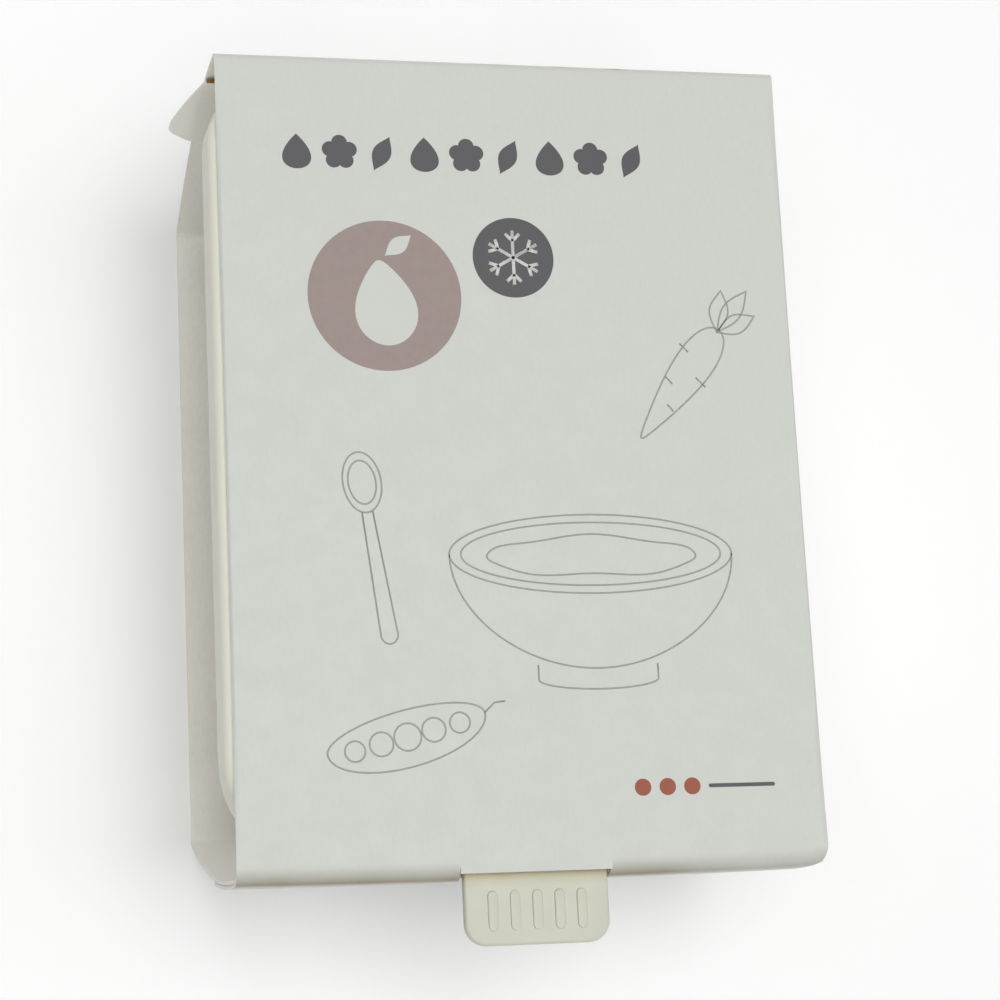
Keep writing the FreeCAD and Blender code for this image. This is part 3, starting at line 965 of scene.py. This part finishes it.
def add_divider(bm, side):
    """Half of a divider at the well's +Y or -Y side, with its dipped top rounded into the well."""
    inner_y = side * (WELL_PITCH - DIVIDER) / 2
    ring = [bm.verts.new((x, inner_y, z)) for x, z in divider_outline()]
    face = bm.faces.new(ring)
    draw_out(bm, face, (0, side * DIVIDER / 2, 0), use_keep_orig=True)
    crest = [e for e in face.edges if all(abs(v.co.x) < DIP_WIDTH / 2 + NEAR for v in e.verts)]
    bevel(bm, crest, DIVIDER_ROUND, 4)


def well(first, last):
    """One well at the origin, cut on the middle of each divider that it shares."""
    bm = bmesh.new()
    verts = [bm.verts.new((r, 0, z)) for r, z in well_section()]
    edges = [bm.edges.new(pair) for pair in zip(verts, verts[1:])]
    bmesh.ops.spin(bm, geom=verts + edges, cent=(0, 0, 0), axis=UP, angle=2 * math.pi, steps=WELL_STEPS,
                   use_merge=True)
    bmesh.ops.remove_doubles(bm, verts=bm.verts[:], dist=1e-7)
    sides = [side for side, ends in ((-1, first), (1, last)) if not ends]
    for side in sides:
        made = cut(bm, (0, side * WELL_PITCH / 2, 0), (0, side, 0), clear_outer=True)["geom_cut"]
        bmesh.ops.holes_fill(bm, edges=[g for g in made if isinstance(g, bmesh.types.BMEdge)], sides=0)
    for side in sides:
        add_divider(bm, side)
    face_out(bm)
    return bm


def well_y(n):
    return TRAY_MIDDLE.y + (n - (WELLS_PER_ROW - 1) / 2) * WELL_PITCH


def row_x(row):
    return TRAY_MIDDLE.x + (row - (ROWS - 1) / 2) * ROW_PITCH


def tray_piece(bm, name):
    piece = piece_from(bm, name, TRAY_SILICONE)
    settle(piece, TRAY_SHARP)
    return piece


def wells():
    """All the wells, as moved copies of three forms: first, middle and last in a row."""
    for n in range(WELLS_PER_ROW):
        form = well(n == 0, n == WELLS_PER_ROW - 1)
        for row in range(ROWS):
            bm = form.copy()
            shift(bm, bm.verts[:], (row_x(row), well_y(n), 0))
            number = "%d_%d" % (row + 1, n + 1)
            piece = tray_piece(bm, "well_form_" + number)
            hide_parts("well_" + number)
            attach(piece, "tray")
        form.free()


def mouth_line(x, radius, z):
    """Outline of the opening that a row of wells leaves in the deck."""
    spread = math.asin(WELL_PITCH / 2 / radius)
    step = 2 * math.pi / WELL_STEPS
    points = []
    for side in (0, 1):
        order = range(WELLS_PER_ROW) if side == 0 else reversed(range(WELLS_PER_ROW))
        for n in order:
            turn = side * math.pi
            ends = n == (WELLS_PER_ROW - 1 if side == 0 else 0)
            start, end = turn - spread, turn + (math.pi - spread if ends else spread)
            angles = [start] + [k * step for k in range(-WELL_STEPS, 2 * WELL_STEPS)
                                if start + 1e-4 < k * step < end - 1e-4]
            points += [(x + radius * math.cos(a), well_y(n) + radius * math.sin(a), z) for a in angles]
    return points


def rim():
    """Deck with the raised lip and the band that hangs from it, open where the wells are."""
    bm, top, bottom = slab(RIM_LOW, RIM_HIGH, RIM_CORNER, RIM_CORNER)
    inset(bm, top, LIP_WIDTH - LIP_SLOPE)
    inset(bm, top, LIP_SLOPE, -LIP_HEIGHT)
    inset(bm, bottom, RIM_WALL)
    inset(bm, bottom, LIP_SLOPE, RIM_LOW.z - DECK_TOP + DECK)
    bevel(bm, level_edges(bm, RIM_HIGH.z), RIM_ROUND, 4)
    decks = (DECK_TOP, DECK_TOP - DECK)
    plates = [level_faces(bm, z)[0] for z in decks]
    borders = [list(plate.edges) for plate in plates]
    bmesh.ops.delete(bm, geom=plates, context="FACES_ONLY")
    taper = (WELL_TOP - WELL_FOOT) / (DECK_TOP - FOOT_Z) * DECK
    for row in range(ROWS):
        rings = []
        for border, z, radius in zip(borders, decks, (WELL_TOP + WELL_WALL, WELL_TOP + WELL_WALL - taper)):
            verts = [bm.verts.new(p) for p in mouth_line(row_x(row), radius, z)]
            ring = [bm.edges.new(pair) for pair in zip(verts, verts[1:] + verts[:1])]
            border += ring
            rings += ring
        bmesh.ops.bridge_loops(bm, edges=rings)
    for border, way in zip(borders, (UP, -UP)):
        bmesh.ops.triangle_fill(bm, edges=border, use_beauty=True, normal=way)
    face_out(bm)
    piece = tray_piece(bm, "rim_form")
    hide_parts("tray_rim")
    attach(piece, "tray")


wells()
rim()


# ---- print on the front panel ----

HALF_ROUND = arc((0, 0), 1.0, math.pi, 2 * math.pi, 48)


def turns(steps):
    return [2 * math.pi * i / steps for i in range(steps)]


def oval(half_x, half_y, steps=72):
    return [(half_x * math.cos(a), half_y * math.sin(a)) for a in turns(steps)]


def pear(width, height):
    """Outline that is narrow at the top and full at the foot."""
    return [(width / 2 * math.sin(a) * (0.70 - 0.26 * math.cos(a) - 0.07 * math.cos(2 * a)),
             height / 2 * math.cos(a)) for a in turns(72)]


def drop(width, height):
    """Outline that is pointed at the top."""
    return [(width / 2 * math.sin(a) * math.sin(a / 2) * 1.3, height / 2 * math.cos(a)) for a in turns(60)]


def flower(radius, petals):
    """Round outline with shallow petals."""
    outline = []
    for a in turns(80):
        r = radius * (0.74 + 0.26 * abs(math.cos(petals * a / 2)) ** 0.8)
        outline.append((r * math.sin(a), r * math.cos(a)))
    return outline


def leaf(width, length):
    """Outline with two pointed ends, from the origin up."""
    steps = 18
    side = [(width / 2 * math.sin(math.pi * i / steps) ** 1.2, length * i / steps) for i in range(steps + 1)]
    return side + [(-x, y) for x, y in side[-2:0:-1]]


def bar(width, height):
    """Upright bar with round ends."""
    top = arc((0, (height - width) / 2), width / 2, 0, math.pi, 14)
    return top + [(-x, -y) for x, y in top]


def placed(points, at, turn=0.0):
    """Points turned, and moved to a place on the front panel."""
    c, s = math.cos(turn), math.sin(turn)
    return [(at[0] + c * x - s * y, at[1] + s * x + c * y) for x, y in points]


def stroke(points, at, turn=0.0, closed=False):
    """A line to draw: its points, and whether it closes."""
    return placed(points, at, turn), closed


def print_piece(bm, name, material):
    face_out(bm)
    piece = piece_from(bm, name, material)
    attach(piece, "cover")


def printed(name, outlines, material, layer=1):
    """Filled shapes in one ink, a hair above the board."""
    bm = bmesh.new()
    for outline in outlines:
        face = bm.faces.new([bm.verts.new((x, y, FACE_Z - INK)) for x, y in outline])
        draw_out(bm, face, UP * INK * (layer + 1))
    print_piece(bm, name, material)


def drawn(name, strokes, material, width=DRAWN_LINE, layer=1):
    """Lines of even width in one ink."""
    curve = bpy.data.curves.new(name, "CURVE")
    curve.dimensions = "3D"
    curve.bevel_depth = width / 2
    curve.bevel_resolution = 1
    curve.use_fill_caps = True
    for points, closed in strokes:
        spline = curve.splines.new("POLY")
        spline.points.add(len(points) - 1)
        for point, (x, y) in zip(spline.points, points):
            point.co = (x, y, 0, 1)
        spline.use_cyclic_u = closed
    holder = bpy.data.objects.new(name + "_path", curve)
    bpy.context.scene.collection.objects.link(holder)
    bm = bmesh.new()
    bm.from_mesh(shown_mesh(holder))
    bpy.data.objects.remove(holder)
    bmesh.ops.remove_doubles(bm, verts=bm.verts[:], dist=1e-8)
    bmesh.ops.scale(bm, vec=(1, 1, 2 * INK * layer / width), verts=bm.verts[:])
    shift(bm, bm.verts[:], (0, 0, FACE_Z))
    print_piece(bm, name, material)


def heading_row():
    """Row of plain drops, flowers and leaves along the top of the panel."""
    high = HEADING_HIGH
    kinds = ((drop(high * 0.8, high), (0, 0), 0.0),
             (flower(high / 2, 5), (0, 0), 0.0),
             (leaf(high * 0.52, high * 1.1), (-high * 0.25, -high / 2), -0.45))
    x, y = HEADING_AT
    shapes = []
    for i in range(HEADING_SHAPES):
        outline, aside, turn = kinds[i % len(kinds)]
        shapes.append(placed(outline, Vector((x + i * HEADING_PITCH, y)) + Vector(aside), turn))
    printed("heading_shapes", shapes, DARK_INK)


def fruit_disc():
    """Muted disc with a pear left white."""
    at = Vector(FRUIT_DISC_AT)
    printed("fruit_disc", [placed(oval(FRUIT_DISC, FRUIT_DISC), at)], MAUVE_INK)
    body = placed(pear(PEAR_WIDE, PEAR_HIGH), at + Vector((0, -1.0 * MM)), 0.12)
    tip = placed(leaf(2.2 * MM, 4.6 * MM), at + Vector((0.2 * MM, 5.4 * MM)), -0.9)
    printed("fruit_on_disc", [body, tip], PAPER_INK, layer=2)


def frost_disc():
    """Dark disc with a plain six-armed frost star left white."""
    at = Vector(FROST_DISC_AT)
    printed("frost_disc", [placed(oval(FROST_DISC, FROST_DISC), at)], DARK_INK)
    strokes = []
    for turn in turns(6):
        strokes.append(stroke([(0, 0), (0, FROST_ARM)], at, turn))
        for side in (-1, 1):
            barb = [(0, FROST_ARM * 0.62), (side * FROST_ARM * 0.26, FROST_ARM * 0.88)]
            strokes.append(stroke(barb, at, turn))
    drawn("frost_star", strokes, PAPER_INK, width=FROST_LINE, layer=2)


def bowl(at):
    """Footed bowl seen from a little above, with food in it."""
    half, lip = BOWL_HALF, BOWL_LIP
    side = [(x * half * (1 - 0.06 * y * y), y * BOWL_DEEP) for x, y in HALF_ROUND]
    foot = BOWL_FOOT
    under = [(-foot, 0.5 * MM), (-foot, -1.4 * MM)]
    under += [(x * foot, -1.4 * MM + y * 1.3 * MM) for x, y in HALF_ROUND]
    under += [(foot, -1.4 * MM), (foot, 0.5 * MM)]
    food = [(0.74 * half * math.cos(a), 0.50 * lip * math.sin(a) * (1 + 0.12 * math.sin(5 * a)))
            for a in turns(72)]
    return [stroke(oval(half, lip), at, closed=True),
            stroke(oval(0.92 * half, 0.80 * lip), at, closed=True),
            stroke(side, at),
            stroke(under, at - Vector((0, BOWL_DEEP))),
            stroke(food, at - Vector((0, 0.3 * MM)), closed=True)]


def spoon(at, turn):
    """Spoon with a double line round its mouth."""
    neck = -SPOON_HIGH + 0.1 * MM
    handle = [(-0.7 * MM, neck), (-1.1 * MM, -SPOON_HANDLE)]
    handle += [(x * 1.1 * MM, -SPOON_HANDLE + y * 1.2 * MM) for x, y in HALF_ROUND]
    handle.append((0.7 * MM, neck))
    mouths = [oval(share * SPOON_WIDE, share * SPOON_HIGH, 48) for share in (1.0, 0.72)]
    return [stroke(mouth, at, turn, closed=True) for mouth in mouths] + [stroke(handle, at, turn)]


def carrot(at, turn):
    """Tapered root with a few short marks and three leafy tops."""
    root = [(CARROT_WIDE * math.sin(a) * (0.64 + 0.36 * math.cos(a)), CARROT_HALF * math.cos(a))
            for a in turns(64)]
    strokes = [stroke(root, at, turn, closed=True)]
    for y, x0, x1 in CARROT_MARKS:
        strokes.append(stroke([(x0 * MM, y * MM), (x1 * MM, (y - 0.25) * MM)], at, turn))
    for lean, length in CARROT_TOPS:
        frond = placed(leaf(2.6 * MM, length), (0, CARROT_HALF - 0.5 * MM), lean)
        strokes.append(stroke(frond, at, turn, closed=True))
    return strokes


def pea_pod(at, turn):
    """Open pod with a row of peas."""
    strokes = []
    for bulge in POD_BULGES:
        side = [(x * POD_HALF, y * bulge) for x, y in arc((0, 0), 1.0, 0, math.pi, 40)]
        strokes.append(stroke(side, at, turn))
    for k in range(-2, 3):
        r = PEA - PEA_LESS * abs(k)
        pea = placed(oval(r, r, 32), (k * PEA_PITCH, -0.4 * MM))
        strokes.append(stroke(pea, at, turn, closed=True))
    stalk = [(POD_HALF, 0), (POD_HALF + 1.6 * MM, 0.9 * MM), (POD_HALF + 3.0 * MM, 0.7 * MM)]
    strokes.append(stroke(stalk, at, turn))
    return strokes


def line_drawing():
    """Large outline drawing of a bowl with a spoon, a carrot and peas in their pod."""
    strokes = bowl(Vector(BOWL_AT)) + spoon(SPOON_AT, SPOON_TURN)
    strokes += carrot(CARROT_AT, CARROT_TURN) + pea_pod(POD_AT, POD_TURN)
    drawn("outline_drawing", strokes, GREY_INK)


def small_marks():
    """Three small brick-red dots and a thin rule near the foot of the panel."""
    x, y = MARKS_AT
    dots = [placed(oval(MARK, MARK, 40), (x + i * 3 * MARK, y)) for i in range(3)]
    printed("red_dots", dots, RED_INK)
    rule = placed(bar(0.5 * MM, MARK_RULE), (x + 8 * MARK + MARK_RULE / 2, y), math.pi / 2)
    printed("dark_rule", [rule], DARK_INK)


heading_row()
fruit_disc()
frost_disc()
line_drawing()
small_marks()


# ---- stage ----

def floor():
    """Pale floor under the carton, a little brighter where the camera sees it."""
    bm = bmesh.new()
    bmesh.ops.create_grid(bm, x_segments=1, y_segments=1, size=FLOOR_SIZE / 2)
    shift(bm, bm.verts[:], (0, 0, cad_low.z))
    finish = Finish("pale_floor", 0.9, 0.0)
    finish.give("Base Color", grey(FLOOR_SHADE))
    finish.give("Emission Color", WHITE)
    seen = finish.node("LightPath").outputs["Is Camera Ray"]
    finish.give("Emission Strength", finish.math("MULTIPLY", seen, FLOOR_LIFT))
    piece_from(bm, "floor", finish.material)


def sky():
    """Even light all round; white where the camera, gloss or glass sees it."""
    world = bpy.data.worlds.new("sky")
    bpy.context.scene.world = world
    world.use_nodes = True
    nodes = Nodes(world.node_tree)
    rays = nodes.node("LightPath").outputs
    seen = nodes.math("MAXIMUM", rays["Is Camera Ray"], rays["Is Glossy Ray"])
    seen = nodes.math("MAXIMUM", seen, rays["Is Transmission Ray"])
    back = nodes.tree.nodes["Background"].inputs
    nodes.feed(back["Color"], WHITE)
    nodes.feed(back["Strength"], nodes.span(seen, 0.0, 1.0, SKY, 1.0))


def lamp(name, towards, level, spread):
    """Broad lamp that lights a face turned to it to this share of the face's own colour."""
    light = bpy.data.lights.new(name, "SUN")
    light.energy = math.pi * level
    light.angle = spread
    holder = bpy.data.objects.new(name, light)
    holder.rotation_mode = "QUATERNION"
    holder.rotation_quaternion = towards.to_track_quat("Z", "Y")
    bpy.context.scene.collection.objects.link(holder)


def camera():
    eye = bpy.data.cameras.new("view")
    eye.lens = LENS
    eye.sensor_width = SENSOR
    eye.clip_start = 10 * MM
    eye.clip_end = 10.0
    holder = bpy.data.objects.new("view", eye)
    look = VIEW_LOOK.normalized()
    top = Vector((math.sin(VIEW_ROLL), math.cos(VIEW_ROLL), 0))
    right = look.cross(top).normalized()
    upward = right.cross(look)
    turned = Matrix((right, upward, -look)).transposed().to_4x4()
    holder.matrix_world = Matrix.Translation(VIEW_AT - look * VIEW_BACK) @ turned
    bpy.context.scene.collection.objects.link(holder)
    bpy.context.scene.camera = holder


floor()
sky()
for name, towards, level, spread in LAMPS:
    lamp(name, Vector(towards), level, spread)
camera()
bpy.context.scene.view_settings.view_transform = "Standard"
